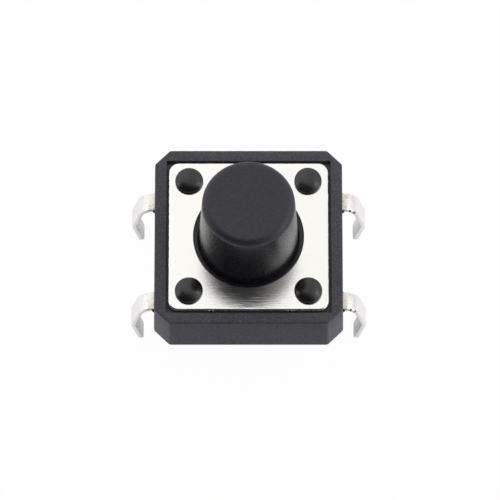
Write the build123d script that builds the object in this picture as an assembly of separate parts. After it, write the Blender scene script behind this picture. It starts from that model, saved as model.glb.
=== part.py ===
"""Through-hole tactile pushbutton switch, 12 mm square body, 9 mm high over the button.

Six pieces: a moulded base with two stamped terminal strips moulded into it, a snap dome
that lies on the floor of the base, a moulded plunger pressed up by the dome, and a
stamped cover plate held down by four heat-staked bosses of the base.

Frame: millimetres, +Z up, origin at the centre of the base's underside, which is the
face that seats on a circuit board. +X points to the right-hand pair of pins.
"""
from build123d import *
import os
from math import radians, sqrt, tan

# Base moulding: a square block with drafted sides, chamfered corners and a shallow recess on top
body_width = 12.0
body_height = 3.5
side_draft_degrees = 1.0
corner_chamfer = 1.0
corner_round = 0.2
edge_chamfer = 0.06
rim_width = 0.75

# Cover plate: stamped sheet that lies in the recess, a little proud of the rim
plate_thickness = 0.3
plate_proud = 0.05
plate_gap = 0.15
plate_corner_radius = 0.65
plate_edge_chamfer = 0.08
hole_edge_chamfer = 0.05
stub_width = 0.3
stub_reach = 0.06
stub_notch_width = 0.14
stub_notch_depth = 0.1
stub_spacing = 5.0
stub_middle_x = 0.13

# Heat-staked bosses: shanks of the base that pass through the plate, with round heads
stake_inset = 1.3
stake_shank_diameter = 1.4
stake_hole_clearance = 0.05
stake_head_diameter = 1.78
stake_head_rim = 0.18
stake_dome_height = 0.24
stake_dome_inset = 0.04

# Plunger: a drafted round button over a flange that the cover plate keeps in
button_top_z = 9.0
button_top_diameter = 5.85
button_draft_degrees = 2.5
button_top_round = 0.5
button_gap = 0.33
button_wall = 0.9
button_roof = 1.4
flange_diameter = 8.4
flange_thickness = 0.6
flange_clearance = 0.15
lug_width = 1.6
lug_reach = 0.45
lug_clearance = 0.1
post_diameter = 2.0
nub_diameter = 1.4
nub_height = 0.3
travel = 0.3
stop_clearance = 0.3

# Snap dome: thin spring disc with a flat crown
dome_diameter = 7.4
dome_rise = 0.45
dome_thickness = 0.08
dome_rim_width = 0.08
dome_skirt_width = 0.9
dome_skirt_rise = 0.26
dome_crown_diameter = 1.6
dome_clearance = 0.1

# Terminal strips: stamped sheet moulded into the base, with contact pads pushed up
strip_height = 0.8
strip_thickness = 0.3
strip_cover = 0.15
arm_width = 1.0
pad_diameter = 1.0
pad_inset = 0.25
dimple_diameter = 0.6
support_hole_diameter = 1.0

# Pins: each leg leaves the side of the base, bends down, and is kinked to grip its hole
pin_width = 1.18
pin_row_offset = 3.45
pin_tip_round = 0.35
pin_shoulder_reach = 0.97
pin_neck_reach = 1.02
pin_neck_z = -0.45
pin_knee_reach = 1.47
pin_knee_z = -1.38
pin_tip_reach = 0.92
pin_tip_z = -3.98
pin_shoulder_radius = 0.75
pin_neck_radius = 1.2
pin_knee_radius = 1.2
pin_nick = 0.12
pin_nick_reaches = (0.55, 0.85)
flash_reach = 0.2
flash_width = 0.15
flash_corner = 0.05

# Heights and radii that follow from the sizes above
half_body = body_width / 2
plate_seat_z = body_height + plate_proud - plate_thickness
plate_top_z = plate_seat_z + plate_thickness
plate_width = body_width - 2 * (rim_width + plate_gap)
stake_offset = plate_width / 2 - stake_inset
strip_top_z = strip_height + strip_thickness
floor_z = strip_top_z + strip_cover
flange_bottom_z = plate_seat_z - flange_thickness
ledge_z = flange_bottom_z - travel - stop_clearance
well_radius = flange_diameter / 2 + flange_clearance
pocket_radius = dome_diameter / 2 + dome_clearance
dome_top_z = floor_z + dome_rise + dome_thickness
centre_contact_z = floor_z + dome_rise - travel
land_offset = dome_diameter / 2 - pad_inset
button_slope = tan(radians(button_draft_degrees))


def button_radius(z):
    """Radius of the drafted button at height z."""
    return button_top_diameter / 2 + (button_top_z - z) * button_slope


plate_hole_radius = button_radius(plate_top_z) + button_gap


def disc(radius, bottom, top, x=0, y=0):
    """Upright cylinder between two heights."""
    return Pos(x, y, bottom) * extrude(Circle(radius), top - bottom)


def block(x_low, x_high, y_low, y_high, bottom, top):
    """Upright rectangular block between two corners."""
    sketch = Pos((x_low + x_high) / 2, (y_low + y_high) / 2) * Rectangle(x_high - x_low, y_high - y_low)
    return Pos(0, 0, bottom) * extrude(sketch, top - bottom)


def cut_all(shape, tools):
    """The shape with every tool cut away."""
    for tool in tools:
        shape -= tool
    return shape


def pin_leg(row_y):
    """Right-hand leg: the strip's section swept along the bent centreline of the pin."""
    strip_middle = strip_height + strip_thickness / 2
    line = FilletPolyline(
        (half_body - pin_width, row_y, strip_middle),
        (half_body + pin_shoulder_reach, row_y, strip_middle),
        (half_body + pin_neck_reach, row_y, pin_neck_z),
        (half_body + pin_knee_reach, row_y, pin_knee_z),
        (half_body + pin_tip_reach, row_y, pin_tip_z),
        radius=[pin_shoulder_radius, pin_neck_radius, pin_knee_radius],
    )
    start = Plane(origin=line @ 0, x_dir=(0, 1, 0), z_dir=line % 0)
    leg = sweep(start * Rectangle(pin_width, strip_thickness), path=line)
    tip_corners = leg.edges().filter_by(
        lambda edge: edge.center().Z < pin_tip_z + strip_thickness
        and abs(edge.center().Y - row_y) > 0.49 * pin_width
        and edge.length < 1.01 * strip_thickness
    )
    leg = fillet(tip_corners, pin_tip_round)
    for reach in pin_nick_reaches:
        nick = Pos(half_body + reach, row_y - pin_width / 2, strip_height / 2) * Rot(0, 0, 45)
        leg -= extrude(nick * Rectangle(pin_nick, pin_nick), strip_top_z)
    return leg


def pads(places, top):
    """Round contact pads pushed up out of the strip, as far as the given height."""
    return [disc(pad_diameter / 2, strip_height, top, x, y) for x, y in places]


def dimples(places, top):
    """The hollows that the punch leaves under the pads."""
    return [disc(dimple_diameter / 2, strip_height, top - strip_thickness, x, y) for x, y in places]


def strip_with_legs(row_y, arms):
    """One stamped strip: a bar across the base, its arms, and a leg at each end."""
    bar_low = row_y - pin_width / 2
    bar = block(-half_body, half_body, bar_low, bar_low + pin_width, strip_height, strip_top_z)
    strip = bar + pin_leg(row_y) + Rot(0, 0, 180) * pin_leg(-row_y)
    for arm in arms:
        strip += arm
    return strip


land_places = [(-land_offset, 0), (land_offset, 0)]
centre_place = [(0, 0)]
arm_place = [(0, -pin_row_offset / 2)]


def make_common_terminal():
    """Rear strip: two arms reach the lands under the dome's rim."""
    arms = [
        block(x - arm_width / 2, x + arm_width / 2, 0, pin_row_offset, strip_height, strip_top_z)
        for x, y in land_places
    ]
    strip = strip_with_legs(pin_row_offset, arms + pads(land_places, floor_z))
    return cut_all(strip, dimples(land_places, floor_z))


def make_centre_terminal():
    """Front strip: one arm reaches the raised centre contact."""
    arm = block(-arm_width / 2, arm_width / 2, -pin_row_offset, 0, strip_height, strip_top_z)
    strip = strip_with_legs(-pin_row_offset, [arm] + pads(centre_place, centre_contact_z))
    return cut_all(strip, dimples(centre_place, centre_contact_z))


def stake(x, y):
    """One heat-staked boss: shank, thin squeezed-out rim and rounded head."""
    head_radius = stake_head_diameter / 2
    cap_radius = head_radius - stake_dome_inset
    ball_radius = (cap_radius ** 2 + stake_dome_height ** 2) / (2 * stake_dome_height)
    cap_base = plate_top_z + stake_head_rim
    # The ball's poles are turned away from the cap, so that the cap meshes evenly
    ball = Pos(x, y, cap_base + stake_dome_height - ball_radius) * Rot(90, 45, 0) * Sphere(ball_radius)
    cap = ball & disc(head_radius, cap_base, cap_base + stake_dome_height, x, y)
    shank = disc(stake_shank_diameter / 2, plate_seat_z, plate_top_z, x, y)
    return shank + disc(head_radius, plate_top_z, cap_base, x, y) + cap


def stake_places():
    """Centres of the four bosses."""
    return [(x, y) for x in (-stake_offset, stake_offset) for y in (-stake_offset, stake_offset)]


def keyways(width, reach, bottom, top):
    """Blocks to the left and right of the well, for the plunger's lugs or their slots."""
    return block(-reach, reach, -width / 2, width / 2, bottom, top)


def make_base():
    """Moulded base with its recess, well, stakes, support-pin holes and moulded-in strips."""
    foot_width = body_width + 2 * body_height * tan(radians(side_draft_degrees))
    outline = chamfer(Rectangle(foot_width, foot_width).vertices(), corner_chamfer)
    outline = fillet(outline.vertices(), corner_round)
    base = extrude(outline, body_height, taper=side_draft_degrees)
    base = chamfer(base.faces().sort_by(Axis.Z)[-1].edges(), edge_chamfer)

    recess_half = half_body - rim_width
    base -= block(-recess_half, recess_half, -recess_half, recess_half, plate_seat_z, body_height)
    base -= disc(well_radius, ledge_z, plate_seat_z)
    base -= disc(pocket_radius, floor_z, ledge_z)
    lug_radius = flange_diameter / 2 + lug_reach
    base -= keyways(lug_width + 2 * lug_clearance, lug_radius + flange_clearance, ledge_z, plate_seat_z)

    for x, y in stake_places():
        base += stake(x, y)

    flash_length = 2 * (half_body + flash_reach)
    flash_outline = chamfer(Rectangle(flash_length, flash_width).vertices(), flash_corner)
    flash_offset = pin_width / 2 + flash_width / 2
    for y in (-pin_row_offset - flash_offset, -pin_row_offset + flash_offset):
        for side in (-1, 1):
            base += Pos(0, side * y, strip_height) * extrude(flash_outline, strip_thickness)
    base -= make_common_terminal()
    base -= make_centre_terminal()
    base = cut_all(base, dimples(land_places, floor_z))
    support_places = land_places + arm_place
    return cut_all(base, [disc(support_hole_diameter / 2, 0, strip_height, x, y) for x, y in support_places])


def make_cover_plate():
    """Stamped plate with rolled edges, two carrier stubs, the button's hole and four staking holes."""
    outline = fillet(Rectangle(plate_width, plate_width).vertices(), plate_corner_radius)
    plate = Pos(0, 0, plate_seat_z) * extrude(outline, plate_thickness)
    plate = chamfer(plate.faces().sort_by(Axis.Z)[-1].edges(), plate_edge_chamfer)
    front_y = -plate_width / 2
    stub_top = plate_top_z - plate_edge_chamfer
    stub_front = front_y - stub_reach
    stub_back = front_y + stub_notch_depth
    half_stub = stub_width / 2
    half_notch = stub_notch_width / 2
    for x in (stub_middle_x - stub_spacing / 2, stub_middle_x + stub_spacing / 2):
        plate += block(x - half_stub, x + half_stub, stub_front, stub_back, plate_seat_z, stub_top)
        plate -= block(x - half_notch, x + half_notch, stub_front, stub_back, plate_seat_z, plate_top_z)
    plate -= disc(plate_hole_radius, plate_seat_z, plate_top_z)
    hole_edge = plate.edges().filter_by(GeomType.CIRCLE).filter_by(
        lambda edge: edge.radius > 0.9 * plate_hole_radius and edge.center().Z > plate_top_z - hole_edge_chamfer
    )
    plate = chamfer(hole_edge, hole_edge_chamfer)
    hole_radius = stake_shank_diameter / 2 + stake_hole_clearance
    return cut_all(plate, [disc(hole_radius, plate_seat_z, plate_top_z, x, y) for x, y in stake_places()])


def make_plunger():
    """Drafted button, cored out from below round a centre post, over its flange and two lugs."""
    roof_z = button_top_z - button_roof
    nub_radius = nub_diameter / 2
    post_radius = post_diameter / 2
    core_radius = button_radius(roof_z) - button_wall
    half_section = Polyline(
        (0, 0, dome_top_z),
        (nub_radius, 0, dome_top_z),
        (nub_radius, 0, dome_top_z + nub_height),
        (post_radius, 0, dome_top_z + nub_height),
        (post_radius, 0, roof_z),
        (core_radius, 0, roof_z),
        (core_radius, 0, flange_bottom_z),
        (flange_diameter / 2, 0, flange_bottom_z),
        (flange_diameter / 2, 0, plate_seat_z),
        (button_radius(plate_seat_z), 0, plate_seat_z),
        (button_radius(button_top_z), 0, button_top_z),
        (0, 0, button_top_z),
        close=True,
    )
    plunger = revolve(make_face(half_section), Axis.Z)
    plunger = fillet(plunger.faces().sort_by(Axis.Z)[-1].edges(), button_top_round)
    lug_radius = flange_diameter / 2 + lug_reach
    lugs = keyways(lug_width, lug_radius, flange_bottom_z, plate_seat_z) - disc(
        (button_radius(plate_seat_z) + flange_diameter / 2) / 2, flange_bottom_z, plate_seat_z
    )
    return plunger + lugs


def make_contact_dome():
    """Thin round spring: a steep skirt on a narrow flat rim, a shallow cone and a flat crown."""
    rim_radius = dome_diameter / 2
    knee_radius = rim_radius - dome_skirt_width
    crown_radius = dome_crown_diameter / 2
    knee_z = floor_z + dome_skirt_rise
    crown_z = floor_z + dome_rise
    half_section = Polyline(
        (0, 0, crown_z),
        (crown_radius, 0, crown_z),
        (knee_radius, 0, knee_z),
        (rim_radius - dome_rim_width, 0, floor_z),
        (rim_radius, 0, floor_z),
        (knee_radius, 0, knee_z + dome_thickness),
        (crown_radius, 0, dome_top_z),
        (0, 0, dome_top_z),
        close=True,
    )
    return revolve(make_face(half_section), Axis.Z)


pieces = {
    "base": make_base(),
    "cover_plate": make_cover_plate(),
    "plunger": make_plunger(),
    "contact_dome": make_contact_dome(),
    "common_terminal": make_common_terminal(),
    "centre_terminal": make_centre_terminal(),
}

os.makedirs("parts", exist_ok=True)
for node, solid in pieces.items():
    export_step(solid, f"parts/{node}.step")
    print(node, round(solid.volume, 4))
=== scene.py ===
"""Dressed model of a through-hole tactile pushbutton switch, 12 mm square.

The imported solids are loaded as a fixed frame. Each visible piece is then made again as a fine
surface in the same place, in metres, and rides on the body that carries it.
"""
import math

import bmesh
import bpy
import numpy as np
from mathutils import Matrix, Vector


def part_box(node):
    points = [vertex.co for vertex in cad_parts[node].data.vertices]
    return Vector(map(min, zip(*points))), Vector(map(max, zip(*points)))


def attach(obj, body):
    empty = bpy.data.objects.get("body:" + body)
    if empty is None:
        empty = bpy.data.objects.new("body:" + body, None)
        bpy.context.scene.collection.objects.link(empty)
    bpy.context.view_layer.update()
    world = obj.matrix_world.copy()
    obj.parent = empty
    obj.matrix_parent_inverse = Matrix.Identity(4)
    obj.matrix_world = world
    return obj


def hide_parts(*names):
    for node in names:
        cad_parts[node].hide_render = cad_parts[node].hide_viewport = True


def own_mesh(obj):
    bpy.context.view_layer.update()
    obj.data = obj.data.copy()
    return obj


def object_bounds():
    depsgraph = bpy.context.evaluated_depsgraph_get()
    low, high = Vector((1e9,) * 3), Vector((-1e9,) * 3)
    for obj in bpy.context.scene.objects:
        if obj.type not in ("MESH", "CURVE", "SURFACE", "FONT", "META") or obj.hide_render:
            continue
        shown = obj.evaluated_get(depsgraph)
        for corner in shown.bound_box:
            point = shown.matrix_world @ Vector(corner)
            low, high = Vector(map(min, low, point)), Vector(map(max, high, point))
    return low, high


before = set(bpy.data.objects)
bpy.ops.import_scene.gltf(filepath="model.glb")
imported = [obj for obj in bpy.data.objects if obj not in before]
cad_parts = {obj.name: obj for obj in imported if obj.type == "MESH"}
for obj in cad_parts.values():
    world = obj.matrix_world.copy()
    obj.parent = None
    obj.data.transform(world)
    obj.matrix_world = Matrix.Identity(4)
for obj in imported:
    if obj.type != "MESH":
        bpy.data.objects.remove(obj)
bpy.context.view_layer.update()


# Base: one black glass-filled moulding, square with chamfered corners and a shallow recess.
# It is injection moulded round the two terminal strips, in a spark-eroded tool that leaves a
# fine matt grain, and has a round well with two slots for the button's flange and lugs.
mm = 0.001
foot_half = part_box("base")[1].y
plate_seat_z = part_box("cover_plate")[0].z
floor_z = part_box("contact_dome")[0].z
rim_top_z = 3.5 * mm
side_slope = math.tan(math.radians(1))
corner_chamfer = 1.0 * mm
corner_distance = (2 * foot_half - corner_chamfer) / math.sqrt(2)
corner_power = 240
rim_edge_round = 0.09 * mm
rim_edge_wear = 0.012 * mm
wear_seed = 5
wear_spans = (5, 11, 31)
bottom_edge_round = 0.05 * mm
bottom_margin = 3 * bottom_edge_round
recess_half = 5.25 * mm
recess_edge_round = 0.05 * mm
seat_half = 5.0 * mm
seat_corner_radius = 0.6 * mm
groove_z = 3.17 * mm
ledge_z = 2.05 * mm
well_radius = 4.35 * mm
slot_reach = 4.8 * mm
slot_half_width = 0.9 * mm
well_edge_round = 0.08 * mm
pocket_radius = 3.8 * mm
pin_row = 3.45 * mm
land_x = 3.45 * mm
support_hole_radius = 0.5 * mm
support_hole_depth = 0.85 * mm
support_hole_places = [(-land_x, 0), (land_x, 0), (0, -pin_row / 2)]
hole_point_step = 12
same_place = 0.0001 * mm
sharp_edge = math.radians(35)


def full_turn(points):
    """Angles of so many points, evenly spaced round a full turn."""
    return np.linspace(0, 2 * np.pi, points, endpoint=False)


around = full_turn(720)
quarter = np.linspace(0, np.pi / 2, 6)


def outline_radius(angle, height, inset):
    """Distance from the centre to the drafted eight-sided outline, moved inwards by the inset.

    Each side allows a distance along the angle. The inverses of these distances are raised to
    a high power and added. The inverse of the sum's root is close to the least distance, and
    rounds the corners slightly.
    """
    side = foot_half - height * side_slope - inset
    corner = corner_distance - height * side_slope - inset
    along_x = np.abs(np.cos(angle))
    along_y = np.abs(np.sin(angle))
    along_corner = (along_x + along_y) / math.sqrt(2) * side / corner
    total = along_x ** corner_power + along_y ** corner_power + along_corner ** corner_power
    return side * total ** (-1 / corner_power)


def square_radius(angle, half):
    """Distance from the centre to a sharp square: the nearer of its two pairs of sides."""
    return half / np.maximum(np.abs(np.cos(angle)), np.abs(np.sin(angle)))


def rounded_square(angle, half, rounding):
    """Distance from the centre to a square with round corners.

    Along a flat it is the half width over the larger of cosine and sine. Past the last straight
    bit it is the far crossing of the ray with the corner's circle.
    """
    middle = half - rounding
    x = np.abs(np.cos(angle))
    y = np.abs(np.sin(angle))
    flat = half / np.maximum(x, y)
    in_corner = flat * np.minimum(x, y) > middle
    inside = np.maximum(rounding ** 2 - middle ** 2 * (x - y) ** 2, 0)
    return np.where(in_corner, middle * (x + y) + np.sqrt(inside), flat)


def keyed_radius(angle, radius, reach, half_width):
    """Distance from the centre to a circle joined with a bar: the farther of the two."""
    tiny = 1e-9
    to_end = reach / np.maximum(np.abs(np.cos(angle)), tiny)
    to_side = half_width / np.maximum(np.abs(np.sin(angle)), tiny)
    return np.maximum(radius, np.minimum(to_end, to_side))


def smoothed_round(row, window):
    """The row smoothed by the window as a closed loop, with a copy on either side of it."""
    return np.convolve(np.tile(row, 3), window, mode="same")[row.size:-row.size]


def ring(radius, height, centre=(0, 0), angle=around):
    """Points round an upright axis, at a radius that may change with the angle."""
    x = centre[0] + radius * np.cos(angle)
    y = centre[1] + radius * np.sin(angle)
    return np.stack([x, y, np.broadcast_to(height, angle.shape)], axis=-1)


def make_piece(name, grids, flat_heights=()):
    """Closed mesh from grids of points, each with rows that run round a closed loop.

    Neighbouring rows are joined by quads, points that coincide become one, and the open edges
    at each flat height are filled with a flat face that leaves the inner loops open.
    """
    points = []
    faces = []
    count = 0
    for grid in grids:
        rows, columns = grid.shape[:2]
        row, column = np.meshgrid(np.arange(rows - 1), np.arange(columns), indexing="ij")
        low = count + row * columns
        after = (column + 1) % columns
        corners = [low + column, low + after, low + columns + after, low + columns + column]
        faces.append(np.stack(corners, axis=-1).reshape(-1, 4))
        points.append(grid.reshape(-1, 3))
        count += rows * columns
    mesh = bpy.data.meshes.new(name)
    mesh.from_pydata(np.concatenate(points).tolist(), [], np.concatenate(faces).tolist())
    shape = bmesh.new()
    shape.from_mesh(mesh)
    bmesh.ops.remove_doubles(shape, verts=shape.verts, dist=same_place)
    for height in flat_heights:
        level = [
            edge for edge in shape.edges
            if edge.is_boundary and all(abs(vert.co.z - height) < same_place for vert in edge.verts)
        ]
        bmesh.ops.triangle_fill(shape, edges=level, use_beauty=True)
    bmesh.ops.recalc_face_normals(shape, faces=shape.faces)
    shape.to_mesh(mesh)
    shape.free()
    mesh.shade_smooth()
    mesh.set_sharp_from_angle(angle=sharp_edge)
    piece = bpy.data.objects.new(name, mesh)
    bpy.context.scene.collection.objects.link(piece)
    weighted = piece.modifiers.new("even_faces", "WEIGHTED_NORMAL")
    weighted.keep_sharp = True
    return piece


def feed(tree, socket, given):
    """Links an input to another node's output, or else sets it to the fixed value."""
    if isinstance(given, bpy.types.NodeSocket):
        tree.links.new(given, socket)
    else:
        socket.default_value = given


def noise(tree, place, scale, detail, roughness=0.5):
    """Cloudy noise from 0 to 1 over a place, with so many ripples to a metre."""
    node = tree.nodes.new("ShaderNodeTexNoise")
    feed(tree, node.inputs["Vector"], place)
    feed(tree, node.inputs["Scale"], scale)
    feed(tree, node.inputs["Detail"], detail)
    feed(tree, node.inputs["Roughness"], roughness)
    return node.outputs["Fac"]


def ranged(tree, value, start, end, low=0, high=1, interpolation="LINEAR"):
    """The number from low to high at the value's place between start and end, held at both."""
    node = tree.nodes.new("ShaderNodeMapRange")
    node.interpolation_type = interpolation
    feed(tree, node.inputs["Value"], value)
    feed(tree, node.inputs["From Min"], start)
    feed(tree, node.inputs["From Max"], end)
    feed(tree, node.inputs["To Min"], low)
    feed(tree, node.inputs["To Max"], high)
    return node.outputs["Result"]


# Which inputs and which output of a Mix node belong to numbers, and which to colours
mix_sockets = {"FLOAT": (2, 3, 0), "RGBA": (6, 7, 2)}


def mix(tree, kind, share, first, second):
    """Mix of two numbers or two colours: the first at a share of 0, the second at 1."""
    node = tree.nodes.new("ShaderNodeMix")
    node.data_type = kind
    first_place, second_place, result_place = mix_sockets[kind]
    feed(tree, node.inputs[0], share)
    feed(tree, node.inputs[first_place], first)
    feed(tree, node.inputs[second_place], second)
    return node.outputs[result_place]


def new_material(name):
    """An empty material, with its node tree and the inputs of its main shader."""
    material = bpy.data.materials.new(name)
    material.use_nodes = True
    tree = material.node_tree
    return material, tree, tree.nodes["Principled BSDF"].inputs


def dress(tree, surface, pattern, spots, colours, roughness, relief):
    """Colour, gloss and relief from a pattern's height, clouds and spots.

    The clouds mix the first two colours, and the third lies over them in the spots. The height
    stands up as relief, and the surface is rougher where it is higher.
    """
    first, second, third = [(*colour, 1) for colour in colours]
    clouded = mix(tree, "RGBA", pattern["Cloud"], first, second)
    feed(tree, surface["Base Color"], mix(tree, "RGBA", pattern[spots], clouded, third))
    smooth, rough = roughness
    gloss = ranged(tree, pattern["Height"], start=0.3, end=0.7, low=smooth, high=rough)
    feed(tree, surface["Roughness"], gloss)
    bump = tree.nodes.new("ShaderNodeBump")
    bump.inputs["Strength"].default_value = 1
    bump.inputs["Distance"].default_value = relief
    feed(tree, bump.inputs["Height"], pattern["Height"])
    feed(tree, surface["Normal"], bump.outputs["Normal"])


def grain_group():
    """Node group for moulded plastic: the height of its grain, clouds and fine specks, 0 to 1."""
    group = bpy.data.node_groups.new("moulded_grain", "ShaderNodeTree")
    group.interface.new_socket("Grain Scale", in_out="INPUT", socket_type="NodeSocketFloat")
    for name in ("Height", "Cloud", "Speck"):
        group.interface.new_socket(name, in_out="OUTPUT", socket_type="NodeSocketFloat")
    given = group.nodes.new("NodeGroupInput").outputs
    out = group.nodes.new("NodeGroupOutput").inputs
    place = group.nodes.new("ShaderNodeTexCoord").outputs["Object"]
    grain = noise(group, place, scale=given["Grain Scale"], detail=3, roughness=0.6)
    flecks = noise(group, place, scale=9500, detail=2)
    feed(group, out["Height"], grain)
    feed(group, out["Cloud"], noise(group, place, scale=700, detail=4))
    feed(group, out["Speck"], ranged(group, flecks, start=0.46, end=0.74))
    return group


moulded_grain = grain_group()


def plastic(name, colour, cloud_colour, speck_colour, roughness, specular, grain_scale, grain_height):
    """Moulded plastic: two close blacks mixed by the clouds, paler specks and a fine raised grain."""
    material, tree, surface = new_material(name)
    surface["Specular IOR Level"].default_value = specular
    grain = tree.nodes.new("ShaderNodeGroup")
    grain.node_tree = moulded_grain
    grain.inputs["Grain Scale"].default_value = grain_scale
    colours = (colour, cloud_colour, speck_colour)
    dress(tree, surface, grain.outputs, "Speck", colours, roughness, grain_height)
    return material


base_black = plastic(
    "base_black",
    colour=(0.037, 0.0355, 0.0468),
    cloud_colour=(0.054, 0.0515, 0.0660),
    speck_colour=(0.104, 0.099, 0.121),
    roughness=(0.34, 0.54),
    specular=0.40,
    grain_scale=8000,
    grain_height=0.02 * mm,
)

wear = 0
wear_rows = np.random.default_rng(wear_seed).normal(0, 1, (len(wear_spans), around.size))
for row, span in zip(wear_rows, wear_spans):
    window = np.hanning(span) / np.hanning(span).sum() * math.sqrt(span)
    wear += smoothed_round(row, window) / len(wear_spans)
wear = rim_edge_wear * np.abs(wear)
edge_in = rim_edge_round * (1 - np.sin(quarter))
edge_drop = rim_edge_round * (1 - np.cos(quarter))
foot_in = np.append(bottom_edge_round * (1 - np.cos(quarter)), bottom_margin)
foot_up = np.append(bottom_edge_round * (1 - np.sin(quarter)), 0)
recess_out = recess_edge_round * (1 - np.cos(quarter))
recess_drop = recess_edge_round * (1 - np.sin(quarter))
well_wall = keyed_radius(around, well_radius, slot_reach, slot_half_width)
well_mouth = keyed_radius(
    around,
    well_radius + well_edge_round,
    slot_reach + well_edge_round,
    slot_half_width + well_edge_round,
)
seat_edge = rounded_square(around, seat_half, seat_corner_radius)
shell = [
    ring(0, floor_z),
    ring(pocket_radius, floor_z),
    ring(pocket_radius, ledge_z),
    ring(well_wall, ledge_z),
    ring(well_wall, plate_seat_z - well_edge_round),
    ring(well_mouth, plate_seat_z),
    ring(seat_edge, plate_seat_z),
    ring(seat_edge, groove_z),
    ring(square_radius(around, recess_half), groove_z),
]
shell += [
    ring(square_radius(around, recess_half + out), rim_top_z - drop)
    for out, drop in zip(recess_out, recess_drop)
]
shell += [
    ring(outline_radius(around, rim_top_z, inset + wear * (1 - drop / rim_edge_round)), rim_top_z - drop)
    for inset, drop in zip(edge_in, edge_drop)
]
shell += [ring(outline_radius(around, up, inset), up) for inset, up in zip(foot_in, foot_up)]
holes = [
    np.stack([
        ring(support_hole_radius, 0, place),
        ring(support_hole_radius, support_hole_depth, place),
        ring(0, support_hole_depth, place),
    ])[:, ::hole_point_step]
    for place in support_hole_places
]
base_moulding = make_piece("base_moulding", [np.stack(shell), *holes], flat_heights=(0,))
base_moulding.data.materials.append(base_black)
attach(base_moulding, "base")
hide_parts("base")


# Stake heads: the tops of four bosses of the base, which come up through the cover plate.
# A heated round punch melts each one down into a low dome that holds the plate, and leaves it
# glossier than the rest of the moulding, with a thin squeezed-out rim.
plate_top_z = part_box("cover_plate")[1].z
stake_offset = 3.8 * mm
head_top_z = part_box("base")[1].z
head_radius = 0.89 * mm
rim_height = 0.18 * mm
rim_upright_share = 0.6
rim_top_share = 0.985
dome_radius = 0.85 * mm
dome_rows = 14
head_uneven = 0.012
three_fold_share = 0.6
next_head_turn = 1.7
head_angle = full_turn(72)
head_places = [(x, y) for x in (-stake_offset, stake_offset) for y in (-stake_offset, stake_offset)]


def stake_head(place, turn):
    """Lathe form of one head: a flat rim, then a circular arc that rises to the top.

    The rim's radius swells a little twice and three times round, as melted plastic spreads.
    """
    rise = head_top_z - plate_top_z - rim_height
    ball_radius = (dome_radius ** 2 + rise ** 2) / (2 * rise)
    two_fold = np.sin(2 * head_angle + turn)
    three_fold = three_fold_share * np.sin(3 * head_angle - 2 * turn)
    swell = 1 + head_uneven * (two_fold + three_fold)
    lean = np.linspace(math.asin(dome_radius / ball_radius), 0, dome_rows)
    arc_radius = ball_radius * np.sin(lean)
    arc_z = head_top_z - ball_radius * (1 - np.cos(lean))
    rows = [
        ring(0, plate_top_z, place, head_angle),
        ring(head_radius * swell, plate_top_z, place, head_angle),
        ring(head_radius * swell, plate_top_z + rim_upright_share * rim_height, place, head_angle),
        ring(rim_top_share * head_radius * swell, plate_top_z + rim_height, place, head_angle),
    ]
    rows += [
        ring(radius * (1 + (swell - 1) * radius / dome_radius), z, place, head_angle)
        for radius, z in zip(arc_radius, arc_z)
    ]
    return np.stack(rows)


stake_black = plastic(
    "stake_black",
    colour=(0.009, 0.009, 0.009),
    cloud_colour=(0.014, 0.014, 0.014),
    speck_colour=(0.024, 0.024, 0.025),
    roughness=(0.22, 0.31),
    specular=0.6,
    grain_scale=6000,
    grain_height=0.004 * mm,
)
stake_heads = make_piece(
    "stake_heads",
    [stake_head(place, next_head_turn * n) for n, place in enumerate(head_places)],
)
stake_heads.data.materials.append(stake_black)
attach(stake_heads, "base")


# Dark beads: small lumpy beads, much darker than the base, on both sides of each pin's root
# where it leaves the base. They are rough and matt. Each row of beads has its place along Y
# and its size as a share of the largest bead's.
strip_middle_z = 0.95 * mm
bead_x = 6.04 * mm
bead_sizes = (0.13 * mm, 0.10 * mm, 0.14 * mm)
bead_rows = [(-4.08 * mm, 1), (-2.84 * mm, 0.45), (2.82 * mm, 1), (4.06 * mm, 0.45)]
bead_lump = 0.16
next_bead_turn = 2.1
bead_rise = np.linspace(-np.pi / 2, np.pi / 2, 13)[:, None]
bead_turn = full_turn(24)[None, :]


def root_bead(x, y, size, turn):
    """Lumpy ellipsoid: waves round it and up it, gone at its poles, change its radius."""
    lump = bead_lump * np.sin(3 * bead_turn + turn) * np.cos(2 * bead_rise + turn) * np.cos(bead_rise)
    out = size * np.cos(bead_rise) * (1 + lump)
    return np.stack([
        x + bead_sizes[0] * out * np.cos(bead_turn),
        y + bead_sizes[1] * out * np.sin(bead_turn),
        strip_middle_z + bead_sizes[2] * np.sin(bead_rise) * np.ones_like(bead_turn),
    ], axis=-1)


root_bead_black = plastic(
    "root_bead_black",
    colour=(0.010, 0.010, 0.011),
    cloud_colour=(0.018, 0.018, 0.019),
    speck_colour=(0.030, 0.030, 0.032),
    roughness=(0.55, 0.7),
    specular=0.3,
    grain_scale=14000,
    grain_height=0.02 * mm,
)
beads = [
    root_bead(side * bead_x, y, size, next_bead_turn * n + side)
    for side in (-1, 1) for n, (y, size) in enumerate(bead_rows)
]
pin_root_beads = make_piece("pin_root_beads", beads)
pin_root_beads.data.materials.append(root_bead_black)
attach(pin_root_beads, "base")


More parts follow.
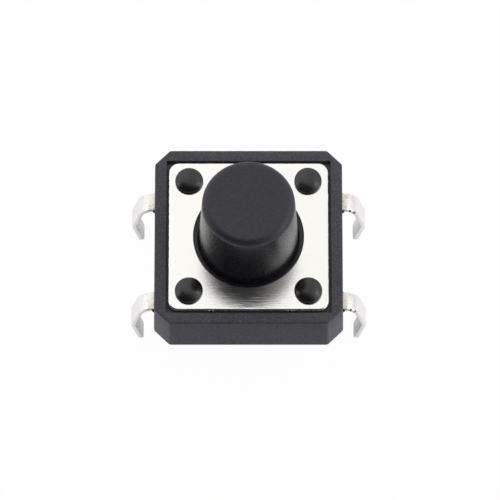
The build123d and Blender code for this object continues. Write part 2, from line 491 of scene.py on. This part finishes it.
# Cover plate: a square of bright spring-hard stainless sheet, brushed from side to side.
# It is blanked and pierced in one strip, which leaves rolled top edges and the two sheared
# stubs of its carrier on the front edge, and is held down by the four stake heads.
plate_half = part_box("cover_plate")[1].x
plate_corner_radius = 0.65 * mm
plate_edge_roll = 0.1 * mm
plate_hole_radius = 3.493 * mm
hole_edge_roll = 0.06 * mm
flat_margin = 0.04 * mm
stake_hole_radius = 0.75 * mm
stub_half_width = 0.15 * mm
stub_reach = 0.04 * mm
stub_top_z = plate_top_z - plate_edge_roll / 2
notch_half_width = 0.07 * mm
notch_depth = 0.1 * mm
stub_middles = (-2.37 * mm, 2.63 * mm)
stub_stations = np.linspace(-0.2, 0.2, 33) * mm
front_sine = -0.8
burr_seed = 12
burr_reach = 0.009 * mm
burr_window = (0.2, 0.6, 0.2)
burr_start = plate_edge_roll / 3
# Heights where the sparse stains and the painted warm shade on the pins' tops fade in.
stain_and_shade_foot_z = 0.6 * mm
stain_and_shade_full_z = 1.05 * mm
painted_warm_shade = 0.36
plate_angle = np.union1d(
    around,
    np.concatenate([
        -np.pi / 2 + np.arctan2(middle + stub_stations, plate_half)
        for middle in stub_middles
    ]) % (2 * np.pi),
)
edge_wander = np.random.default_rng(burr_seed).normal(0, 1, plate_angle.size)
burr = burr_reach * smoothed_round(edge_wander, burr_window)


def plate_radius(angle, inset):
    """Distance from the centre to the plate's outline, moved inwards by the inset."""
    return rounded_square(angle, plate_half - inset, plate_corner_radius - inset)


def with_stubs(angle, radius):
    """The outline with each stub standing out of its front edge, notched in the middle.

    Angles with a sine below front_sine lie on the front edge, clear of its corners. A reach or
    depth is square to the edge, so it is divided by the angle's sine.
    """
    front = np.sin(angle) < front_sine
    across = -plate_half / np.where(front, np.tan(angle), 1)
    change = np.zeros_like(angle)
    for middle in stub_middles:
        away = np.abs(across - middle)
        change = np.where(front & (away < stub_half_width), stub_reach, change)
        change = np.where(front & (away < notch_half_width), -notch_depth, change)
    return radius + change / np.where(front, np.abs(np.sin(angle)), 1)


roll_in = plate_edge_roll * (1 - np.cos(quarter))
roll_down = plate_edge_roll * (1 - np.sin(quarter))
stubbed = with_stubs(plate_angle, plate_radius(plate_angle, 0))
plate_wall = [
    ring(stubbed, plate_seat_z, angle=plate_angle),
    ring(stubbed, stub_top_z, angle=plate_angle),
]
for inset, down in zip(roll_in[:-1], roll_down[:-1]):
    burred = plate_radius(plate_angle, inset) + burr * (down > burr_start)
    plate_wall.append(ring(burred, plate_top_z - down, angle=plate_angle))
plate_wall += [
    ring(plate_radius(plate_angle, roll_in[-1] + away), plate_top_z, angle=plate_angle)
    for away in (0, flat_margin)
]
hole_wall = [ring(plate_hole_radius + hole_edge_roll + flat_margin, plate_top_z)]
hole_wall += [
    ring(plate_hole_radius + hole_edge_roll * (1 - out), plate_top_z - hole_edge_roll * (1 - up))
    for out, up in zip(np.sin(quarter), np.cos(quarter))
]
hole_wall.append(ring(plate_hole_radius, plate_seat_z))
stake_walls = [
    np.stack([
        ring(stake_hole_radius + flat_margin, plate_top_z, place, head_angle),
        ring(stake_hole_radius, plate_top_z, place, head_angle),
        ring(stake_hole_radius, plate_seat_z, place, head_angle),
    ])
    for place in head_places
]


def worked_out(tree, operation, *numbers):
    """Result of a Math node that works on the numbers or sockets in turn."""
    node = tree.nodes.new("ShaderNodeMath")
    node.operation = operation
    for socket, number in zip(node.inputs, numbers):
        feed(tree, socket, number)
    return node.outputs["Value"]


def coordinate(tree, vector, axis):
    """One coordinate of a vector, X, Y or Z."""
    split = tree.nodes.new("ShaderNodeSeparateXYZ")
    feed(tree, split.inputs["Vector"], vector)
    return split.outputs[axis]


def brushed_group():
    """Node group for sheet metal: a height of fine streaks, slow clouds, and sparse stains.

    The stains lie on a faint even cast, which is painted warm shade on the tops. Both are full on
    top of the pins' flat roots and above, and fade out down the pins' shoulders, to none on the legs.
    """
    group = bpy.data.node_groups.new("brushed_streaks", "ShaderNodeTree")
    for name in ("Height", "Cloud", "Stain And Shade"):
        group.interface.new_socket(name, in_out="OUTPUT", socket_type="NodeSocketFloat")
    group.interface.new_socket("Stretch", in_out="INPUT", socket_type="NodeSocketVector")
    given = group.nodes.new("NodeGroupInput").outputs
    out = group.nodes.new("NodeGroupOutput").inputs
    place = group.nodes.new("ShaderNodeTexCoord").outputs["Object"]
    stretched = group.nodes.new("ShaderNodeVectorMath")
    stretched.operation = "MULTIPLY"
    feed(group, stretched.inputs[0], place)
    feed(group, stretched.inputs[1], given["Stretch"])
    streaks = noise(group, stretched.outputs["Vector"], scale=14000, detail=5, roughness=0.65)
    blots = noise(group, place, scale=3600, detail=4)
    height = coordinate(group, place, "Z")
    above = ranged(group, height, start=stain_and_shade_foot_z, end=stain_and_shade_full_z)
    cast = worked_out(group, "MULTIPLY", above, painted_warm_shade)
    feed(group, out["Height"], streaks)
    feed(group, out["Cloud"], noise(group, place, scale=260, detail=3))
    stains_and_shade = ranged(group, blots, start=0.53, end=0.74, low=cast, high=above)
    feed(group, out["Stain And Shade"], stains_and_shade)
    return group


brushed_streaks = brushed_group()


def sheet_metal(name, colour, worn_colour, stain_and_shade_colour, roughness, stretch, streak_height):
    """Bare sheet metal: two close tints mixed by the clouds, stains over painted warm shade, and streaks
    in the gloss.
    """
    material, tree, surface = new_material(name)
    surface["Metallic"].default_value = 1
    streaks = tree.nodes.new("ShaderNodeGroup")
    streaks.node_tree = brushed_streaks
    streaks.inputs["Stretch"].default_value = stretch
    colours = (colour, worn_colour, stain_and_shade_colour)
    dress(tree, surface, streaks.outputs, "Stain And Shade", colours, roughness, streak_height)
    return material


brushed_steel = sheet_metal(
    "brushed_steel",
    colour=(0.965, 0.945, 0.91),
    worn_colour=(0.985, 0.968, 0.94),
    stain_and_shade_colour=(0.955, 0.930, 0.89),
    roughness=(0.11, 0.19),
    stretch=(0.06, 1, 1),
    streak_height=0.005 * mm,
)
plate = make_piece(
    "cover_sheet",
    [np.stack(plate_wall), np.stack(hole_wall), *stake_walls],
    flat_heights=(plate_seat_z, plate_top_z),
)
plate.data.materials.append(brushed_steel)
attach(plate, "base")
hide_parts("cover_plate")


# Button: a drafted round black moulding over a flange with two lugs, which the plate keeps in.
# Its sides are satin and its top a little more matt, as the tool was finished. The top is
# also coloured paler than the sides, a painted sheen of the light on the top. It is cored out
# from below round a post that stands on the snap dome.
button_top_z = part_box("plunger")[1].z
button_foot_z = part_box("plunger")[0].z
flange_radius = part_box("plunger")[1].y
lug_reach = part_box("plunger")[1].x
lug_half_width = 0.8 * mm
flange_thickness = 0.6 * mm
flange_bottom_z = plate_seat_z - flange_thickness
flange_round = 0.06 * mm
flange_slope = 0.1 * mm
button_top_radius = 2.925 * mm
button_draft = math.radians(2.5)
button_round = 0.5 * mm
matt_top_z = button_top_z - 0.6 * button_round
core_radius = 2.086 * mm
core_roof_z = 7.6 * mm
post_radius = 1.0 * mm
nub_radius = 0.7 * mm
nub_height = 0.3 * mm
button_angle = full_turn(288)


def flange(inset, height):
    """Ring of the flange's edge, a circle with a lug on either side, moved in by the inset."""
    edge = keyed_radius(button_angle, flange_radius - inset, lug_reach - inset, lug_half_width - inset)
    return ring(edge, height, angle=button_angle)


round_middle_z = button_top_z - button_round
round_middle_radius = (
    button_top_radius + button_round * math.tan(button_draft) - button_round / math.cos(button_draft)
)
lean = np.linspace(np.pi / 2, button_draft, 16)
round_radius = round_middle_radius + button_round * np.cos(lean)
round_z = round_middle_z + button_round * np.sin(lean)
side_top_z = round_middle_z + button_round * math.sin(button_draft)
side_z = np.linspace(side_top_z, plate_seat_z + flange_slope, 12)[1:]
side_radius = button_top_radius + (button_top_z - side_z) * math.tan(button_draft)
button_rows = [ring(0, button_top_z, angle=button_angle)]
button_rows += [ring(radius, z, angle=button_angle) for radius, z in zip(round_radius, round_z)]
button_rows += [ring(radius, z, angle=button_angle) for radius, z in zip(side_radius, side_z)]
button_rows += [
    ring(side_radius[-1] + flange_slope, plate_seat_z, angle=button_angle),
    flange(flange_round, plate_seat_z),
    flange(0, plate_seat_z - flange_round),
    flange(0, flange_bottom_z + flange_round),
    flange(flange_round, flange_bottom_z),
    ring(core_radius, flange_bottom_z, angle=button_angle),
    ring(core_radius, core_roof_z, angle=button_angle),
    ring(post_radius, core_roof_z, angle=button_angle),
    ring(post_radius, button_foot_z + nub_height, angle=button_angle),
    ring(nub_radius, button_foot_z + nub_height, angle=button_angle),
    ring(nub_radius, button_foot_z, angle=button_angle),
    ring(0, button_foot_z, angle=button_angle),
]
button_black = plastic(
    "button_black",
    colour=(0.005, 0.005, 0.009),
    cloud_colour=(0.008, 0.0078, 0.0125),
    speck_colour=(0.016, 0.016, 0.022),
    roughness=(0.23, 0.34),
    specular=0.5,
    grain_scale=10000,
    grain_height=0.010 * mm,
)
# The top's material: more matt, and paler than the sides, which paints light onto the top.
button_matt_top_painted_light = plastic(
    "button_matt_top_painted_light",
    colour=(0.0165, 0.016, 0.0240),
    cloud_colour=(0.0245, 0.024, 0.034),
    speck_colour=(0.036, 0.0352, 0.047),
    roughness=(0.38, 0.52),
    specular=0.48,
    grain_scale=12000,
    grain_height=0.008 * mm,
)
button = make_piece("button", [np.stack(button_rows)])
button.data.materials.append(button_black)
button.data.materials.append(button_matt_top_painted_light)
# Faces above matt_top_z take the paler top material, the painted sheen.
for face in button.data.polygons:
    face.material_index = int(face.center.z > matt_top_z)
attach(button, "plunger")
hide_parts("plunger")


# Snap dome: a thin bright disc of spring steel under the button's post, pressed into a dome.
# It stands on its rim, gives the click as its crown snaps down, and flattens with the button.
dome_edge_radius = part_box("contact_dome")[1].x
dome_thickness = 0.08 * mm
dome_bend_radii = np.array([0, 0.8, 2.8, 3.7]) * mm
dome_bend_heights = np.array([0.45, 0.45, 0.26, 0]) * mm
dome_bend_spread = np.linspace(-0.25, 0.25, 9)[:, None] * mm
dome_edge_share = 0.02
dome_angle = full_turn(144)
dome_reach = np.linspace(0, dome_edge_radius, 40)


def dome_height(radius):
    """Height of the dome's underside: flat crown, shallow cone and steep skirt.

    It is the mean of the straight runs between the bends over a short spread of radii, which
    rounds the bends.
    """
    return np.interp(np.abs(radius + dome_bend_spread), dome_bend_radii, dome_bend_heights).mean(axis=0)


# The upper surface lies one thickness above the underside, and meets it at the rim
upper = [
    ring(r, floor_z + h + dome_thickness * (1 - r / dome_edge_radius > dome_edge_share), angle=dome_angle)
    for r, h in zip(dome_reach, dome_height(dome_reach))
]
under = [
    ring(r, floor_z + h, angle=dome_angle)
    for r, h in zip(dome_reach[-2::-1], dome_height(dome_reach[-2::-1]))
]
spring_steel = sheet_metal(
    "spring_steel",
    colour=(0.70, 0.69, 0.66),
    worn_colour=(0.76, 0.75, 0.72),
    stain_and_shade_colour=(0.64, 0.62, 0.58),
    roughness=(0.22, 0.34),
    stretch=(0.05, 1, 1),
    streak_height=0.001 * mm,
)
snap_dome = make_piece("snap_dome", [np.stack(upper + under)])
snap_dome.data.materials.append(spring_steel)
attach(snap_dome, "base")
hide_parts("contact_dome")
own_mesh(snap_dome)


# Terminals: two strips of tin-plated brass, each stamped with a pin at either end.
# A strip runs straight through the base, bends down at both sides and is kinked to grip its
# hole in the board. Pads pushed up from the strips are the contacts.
pin_width = 1.18 * mm
strip_thickness = 0.3 * mm
pin_corner = 0.05 * mm
pin_corner_points = 5
pin_tip_round = 0.35 * mm
pin_tip_nose = 0.1 * mm
pin_tip_blunt = 0.25
# Middle of a strip from the middle of the base to the right tip: distance along X and height
pin_bends = np.array([(0, 0.95), (6.79, 0.95), (7.44, -1.6), (6.92, -3.98)]) * mm
bend_radii = np.array([0.92, 1.2]) * mm
bend_points = 16
station_step = 0.02 * mm
arm_station_step = 10 * station_step
nick_places = (6.48 * mm, 6.76 * mm)
nick_depth = 0.09 * mm
nick_half_width = 0.06 * mm
nick_lowest_z = strip_middle_z / 3
pad_radius = 0.5 * mm
arm_width = 1.0 * mm
dimple_radius = 0.3 * mm
centre_pad_top = 1.4 * mm


def rounded_route(bends, radii):
    """Route through the bends with each inner one rounded by an arc that touches both runs."""
    route = [bends[:1]]
    for before, bend, after, radius in zip(bends, bends[1:], bends[2:], radii):
        way_in = (bend - before) / np.linalg.norm(bend - before)
        way_out = (after - bend) / np.linalg.norm(after - bend)
        turn = math.acos(np.clip(way_in @ way_out, -1, 1))
        side = np.sign(way_in[0] * way_out[1] - way_in[1] * way_out[0])
        inwards = side * np.array([-way_in[1], way_in[0]])
        centre = bend - way_in * radius * math.tan(turn / 2) + inwards * radius
        swing = np.linspace(0, turn, bend_points)[:, None]
        route.append(centre + radius * (way_in * np.sin(swing) - inwards * np.cos(swing)))
    route.append(bends[-1:])
    return np.concatenate(route)


def stations(route, step, tip=0):
    """Points along the route an even step apart, closer over each tip, and their distances.

    Stations that coincide to a nanometre become one.
    """
    runs = np.linalg.norm(np.diff(route, axis=0), axis=1)
    distance = np.concatenate([[0], np.cumsum(runs)])
    whole = distance[-1]
    even = np.linspace(0, whole, int(whole / step))
    close = tip * (1 - np.cos(np.linspace(0, np.pi / 2, 12)))
    even = np.concatenate([close, even[(even > tip) & (even < whole - tip)], (whole - close)[::-1]])
    even = np.unique(np.round(even, 9))
    return np.stack([np.interp(even, distance, route[:, n]) for n in (0, 1)], axis=-1), even


def strip_surface(route, y, front_half, rear_half, half_thickness):
    """A flat strip's section, a rectangle with round corners, carried along a route in X and Z.

    The front and rear half widths and the half thickness are given at every station, and both
    ends are closed.
    """
    along = np.gradient(route, axis=0)
    along /= np.linalg.norm(along, axis=1)[:, None]
    up = np.stack([-along[:, 1], along[:, 0]], axis=-1)
    corner_turn = np.linspace(0, np.pi / 2, pin_corner_points)
    swing = np.concatenate([corner_turn + n * np.pi / 2 for n in range(4)])
    corner = np.repeat(np.arange(4), pin_corner_points)
    to_rear = np.array([1, -1, -1, 1])[corner]
    to_top = np.array([1, 1, -1, -1])[corner]
    rounding = np.minimum(pin_corner, half_thickness)[:, None]
    width = np.where(to_rear > 0, rear_half[:, None], front_half[:, None])
    sideways = to_rear * (width - rounding) + rounding * np.cos(swing)
    upwards = to_top * (half_thickness[:, None] - rounding) + rounding * np.sin(swing)
    flat = route[:, None, :] + up[:, None, :] * upwards[..., None]
    body = np.stack([flat[..., 0], y + sideways, flat[..., 1]], axis=-1)
    first = np.broadcast_to(body[:1].mean(axis=1, keepdims=True), body[:1].shape)
    last = np.broadcast_to(body[-1:].mean(axis=1, keepdims=True), body[-1:].shape)
    return np.concatenate([first, body, last])


def terminal_strip(y):
    """The whole strip of one pin row, from the left tip through the base to the right tip.

    Towards a tip the width follows a quarter circle at both corners and the thickness a quarter
    ellipse. The nicks are small triangles cut from one edge.
    """
    half_route = rounded_route(pin_bends, bend_radii)
    whole = np.concatenate([half_route[:0:-1] * (-1, 1), half_route])
    route, distance = stations(whole, station_step, pin_tip_round)
    to_tip = np.minimum(distance, distance[-1] - distance)
    into_round = np.clip(pin_tip_round - to_tip, 0, pin_tip_round)
    half = pin_width / 2 - pin_tip_round + np.sqrt(pin_tip_round ** 2 - into_round ** 2)
    into_nose = np.clip(1 - to_tip / pin_tip_nose, 0, 1)
    half_thickness = strip_thickness / 2 * np.maximum(np.sqrt(1 - into_nose ** 2), pin_tip_blunt)
    away = np.min([np.abs(np.abs(route[:, 0]) - place) for place in nick_places], axis=0)
    nick = nick_depth * np.maximum(1 - away / nick_half_width, 0) * (route[:, 1] > nick_lowest_z)
    front_half = half - nick * (route[:, 0] > 0)
    rear_half = half - nick * (route[:, 0] < 0)
    return strip_surface(route, y, front_half, rear_half, half_thickness)


def contact_pad(place, top_z):
    """Lathe form of a pad pushed up out of the strip, with the punch's dimple in its underside."""
    bottom = strip_middle_z - strip_thickness / 2
    return np.stack([
        ring(0, top_z - strip_thickness, place, head_angle),
        ring(dimple_radius, top_z - strip_thickness, place, head_angle),
        ring(dimple_radius, bottom, place, head_angle),
        ring(pad_radius, bottom, place, head_angle),
        ring(pad_radius, top_z - pin_corner, place, head_angle),
        ring(pad_radius - pin_corner, top_z, place, head_angle),
        ring(0, top_z, place, head_angle),
    ])


def strip_arm(x, y_start):
    """Straight arm from the pin row to the middle of the base: a strip along X, turned along Y."""
    run = np.array([(0, strip_middle_z), (pin_row, strip_middle_z)])
    route, distance = stations(run, arm_station_step)
    half = np.full(distance.shape, arm_width / 2)
    arm = strip_surface(route, 0, half, half, np.full(distance.shape, strip_thickness / 2))
    return np.stack([x - arm[..., 1], y_start * arm[..., 0] / pin_row, arm[..., 2]], axis=-1)


tinned_brass = sheet_metal(
    "tinned_brass",
    colour=(0.955, 0.935, 0.90),
    worn_colour=(0.985, 0.97, 0.945),
    # The stain colour also paints warm shade on the tops of the pins.
    stain_and_shade_colour=(0.53, 0.46, 0.34),
    roughness=(0.24, 0.36),
    stretch=(1, 0.15, 1),
    streak_height=0.0015 * mm,
)
land_pads = [contact_pad((x, 0), floor_z) for x in (-land_x, land_x)]
land_arms = [strip_arm(x, pin_row) for x in (-land_x, land_x)]
rear_strip = make_piece("rear_terminal", [terminal_strip(pin_row), *land_arms, *land_pads])
front_strip = make_piece(
    "front_terminal",
    [terminal_strip(-pin_row), strip_arm(0, -pin_row), contact_pad((0, 0), centre_pad_top)],
)
for strip, node in ((rear_strip, "common_terminal"), (front_strip, "centre_terminal")):
    strip.data.materials.append(tinned_brass)
    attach(strip, "base")
    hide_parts(node)


# Floor: a plain white sheet that the pins stand on, with a trace of the object's shadow on it.
# To the camera it is all but plain white. What shines mirrors a lit white surface that glows
# more to the left and right of the switch than in front of it, with a lavender cast.
floor_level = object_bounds()[0].z
floor_half = 400 * mm
floor_corners = ((-1, -1), (1, -1), (1, 1), (-1, 1))
glow_start_x = 5 * mm
glow_full_x = 9 * mm
camera_white = 0.98
white = (1, 1, 1, 1)
glow_tint = (0.97, 0.95, 1, 1)
floor_mesh = bpy.data.meshes.new("floor")
floor_mesh.from_pydata(
    [(x * floor_half, y * floor_half, floor_level) for x, y in floor_corners],
    [],
    [(0, 1, 2, 3)],
)
floor = bpy.data.objects.new("floor", floor_mesh)
bpy.context.scene.collection.objects.link(floor)
floor_white, floor_tree, floor_surface = new_material("floor_white")
floor_surface["Base Color"].default_value = (0.91, 0.90, 0.94, 1)
floor_surface["Roughness"].default_value = 0.9
floor_surface["Specular IOR Level"].default_value = 0.1
seen = floor_tree.nodes.new("ShaderNodeLightPath").outputs
floor_place = floor_tree.nodes.new("ShaderNodeTexCoord").outputs["Object"]
from_middle = worked_out(floor_tree, "ABSOLUTE", coordinate(floor_tree, floor_place, "X"))
glow = ranged(
    floor_tree,
    from_middle,
    start=glow_start_x,
    end=glow_full_x,
    low=0.05,
    high=0.82,
    interpolation="SMOOTHSTEP",
)
to_camera = worked_out(floor_tree, "MULTIPLY", seen["Is Camera Ray"], camera_white)
lit_share = worked_out(floor_tree, "MULTIPLY_ADD", seen["Is Glossy Ray"], glow, to_camera)
plain_white = floor_tree.nodes.new("ShaderNodeEmission")
floor_tint = mix(floor_tree, "RGBA", seen["Is Glossy Ray"], white, glow_tint)
feed(floor_tree, plain_white.inputs["Color"], floor_tint)
floor_mix = floor_tree.nodes.new("ShaderNodeMixShader")
feed(floor_tree, floor_mix.inputs["Fac"], lit_share)
feed(floor_tree, floor_mix.inputs[1], floor_tree.nodes["Principled BSDF"].outputs["BSDF"])
feed(floor_tree, floor_mix.inputs[2], plain_white.outputs["Emission"])
feed(floor_tree, floor_tree.nodes["Material Output"].inputs["Surface"], floor_mix.outputs["Shader"])
floor.data.materials.append(floor_white)


# Camera: at the photograph's viewing angle, high in front of the switch, with a long lens.
# Its angle, distance and aim were fitted to the edges of the base, plate, hole and button.
view_elevation = math.radians(66.99)
view_distance = 355.9 * mm
view_target = Vector((0.092 * mm, 0.543 * mm, 0))
back = Vector((0, -math.cos(view_elevation), math.sin(view_elevation)))
lens = bpy.data.cameras.new("camera")
lens.sensor_width = 36
lens.lens = 397.7
lens.clip_start = 10 * mm
lens.clip_end = 5
camera = bpy.data.objects.new("camera", lens)
camera.location = view_target + back * view_distance
camera.rotation_mode = "QUATERNION"
camera.rotation_quaternion = (-back).to_track_quat("-Z", "Y")
bpy.context.scene.collection.objects.link(camera)
bpy.context.scene.camera = camera


# Studio: a white tent, brighter behind on both sides and lavender low down, with a dark opening
# in front where the camera looks in. Two lamps stand to the right and one to the left. The
# camera itself sees plain white.
lamp_distance = 160 * mm
low_tint = (0.95, 0.92, 1, 1)
world = bpy.data.worlds.new("studio")
bpy.context.scene.world = world
world.use_nodes = True
sky = world.node_tree
surroundings = sky.nodes["Background"].inputs
direction = sky.nodes.new("ShaderNodeTexCoord").outputs["Generated"]
by_camera = sky.nodes.new("ShaderNodeLightPath").outputs["Is Camera Ray"]


def towards(azimuth, elevation):
    """Unit vector at degrees to the right of the front, and degrees above the level."""
    azimuth = math.radians(azimuth)
    elevation = math.radians(elevation)
    level_part = math.cos(elevation)
    return Vector((math.sin(azimuth) * level_part, -math.cos(azimuth) * level_part, math.sin(elevation)))


def patch_of_sky(azimuth, elevation, outer, inner, outer_level, inner_level):
    """Soft round patch of the surroundings between two levels; outer and inner are cosines."""
    facing = sky.nodes.new("ShaderNodeVectorMath")
    facing.operation = "DOT_PRODUCT"
    feed(sky, facing.inputs[0], direction)
    feed(sky, facing.inputs[1], towards(azimuth, elevation))
    return ranged(sky, facing.outputs["Value"], outer, inner, outer_level, inner_level, "SMOOTHSTEP")


tent = patch_of_sky(240, 30, outer=0.35, inner=0.91, outer_level=0.82, inner_level=1.2)
for azimuth, elevation, outer, inner, inner_level in (
    (-17, 36, 0.53, 0.75, 0.02),
    (-55, 47, 0.78, 0.87, 0.02),
    (118, 33, 0.84, 0.97, 1.35),
):
    patch = patch_of_sky(azimuth, elevation, outer, inner, 1, inner_level)
    tent = worked_out(sky, "MULTIPLY", tent, patch)
feed(sky, surroundings["Strength"], mix(sky, "FLOAT", by_camera, tent, 1))
high_up = ranged(sky, coordinate(sky, direction, "Z"), start=0.15, end=0.6)
white_share = worked_out(sky, "MAXIMUM", high_up, by_camera)
feed(sky, surroundings["Color"], mix(sky, "RGBA", white_share, low_tint, white))

for name, azimuth, elevation, size, power in (
    ("upper_right_lamp", 97, 50, 44 * mm, 0.012),
    ("lower_right_lamp", 72, 30, 90 * mm, 0.034),
    ("left_lamp", -95, 38, 56 * mm, 0.014),
):
    light = bpy.data.lights.new(name, "AREA")
    light.shape = "DISK"
    light.size = size
    light.energy = power
    lamp = bpy.data.objects.new(name, light)
    lamp.location = towards(azimuth, elevation) * lamp_distance
    lamp.rotation_mode = "QUATERNION"
    lamp.rotation_quaternion = towards(azimuth, elevation).to_track_quat("Z", "Y")
    bpy.context.scene.collection.objects.link(lamp)

bpy.context.scene.view_settings.view_transform = "Standard"
